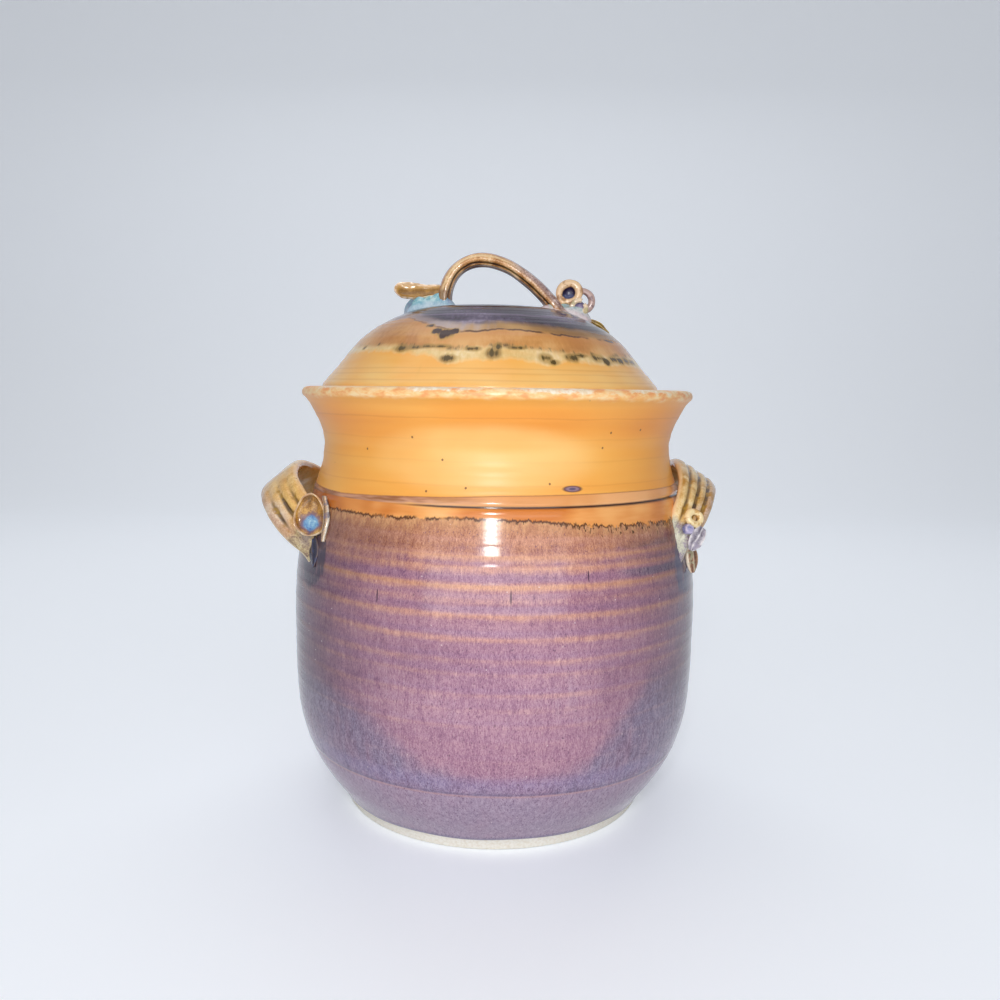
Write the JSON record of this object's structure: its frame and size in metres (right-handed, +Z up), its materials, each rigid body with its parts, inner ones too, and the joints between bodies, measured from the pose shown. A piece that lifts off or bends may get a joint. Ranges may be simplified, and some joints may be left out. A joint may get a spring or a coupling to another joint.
{
  "type": "cookie jar",
  "caption": "Thrown stoneware food jar with a flared rim, ribbed strap handles high on its wall, and a loose domed lid with an arched handle, clay leaves and curls.",
  "frame": {"origin": "on the jar's axis, at the middle of the flat base that it stands on", "axes": "+Z up along the jar's axis, -Y towards the viewer of the picture, +X to the right in the picture, towards the right handle"},
  "size_m": [0.2574, 0.2282, 0.3112],
  "materials": {
    "jar_glaze": "gloss, mottled mauve over the wall and golden ochre on the neck, bare cream clay at the foot",
    "lid_glaze": "gloss golden ochre with cream and dark brown runs and a grey-violet crown",
    "lid_handle_glaze": "gloss tan over the ribs, olive brown in the grooves",
    "side_handle_glaze": "gloss cream and amber over the ribs, olive and lilac in the grooves",
    "cream_glaze": "gloss cream with tan and olive in the hollows",
    "amber_glaze": "gloss amber, pooled, with a cream edge",
    "blue_glaze": "gloss pale blue and lilac, pooled",
    "slate_glaze": "gloss slate and navy with pale edges"
  },
  "bodies": {
    "jar": {"jar_body": "jar_glaze", "left_handle": "side_handle_glaze", "left_spoon_curl": "amber_glaze", "left_side_coil": "cream_glaze", "left_tail": "slate_glaze", "right_handle": "side_handle_glaze", "right_ring_curl": "cream_glaze", "right_ball": "blue_glaze", "right_low_leaf": "slate_glaze", "right_tail": "cream_glaze"},
    "lid": {"lid": "lid_glaze", "lid_handle": "lid_handle_glaze", "lid_left_pad": "blue_glaze", "lid_left_leaf": "amber_glaze", "lid_right_pad": "blue_glaze", "lid_loop_curl": "cream_glaze", "lid_bud_curl": "blue_glaze", "lid_back_curl": "slate_glaze", "lid_right_leaf": "cream_glaze"}
  },
  "joints": [
    {"name": "lid_lift", "type": "slide", "parent": "jar", "child": "lid", "axis": [0, 0, 1], "range_m": [0, 0.15]}
  ]
}
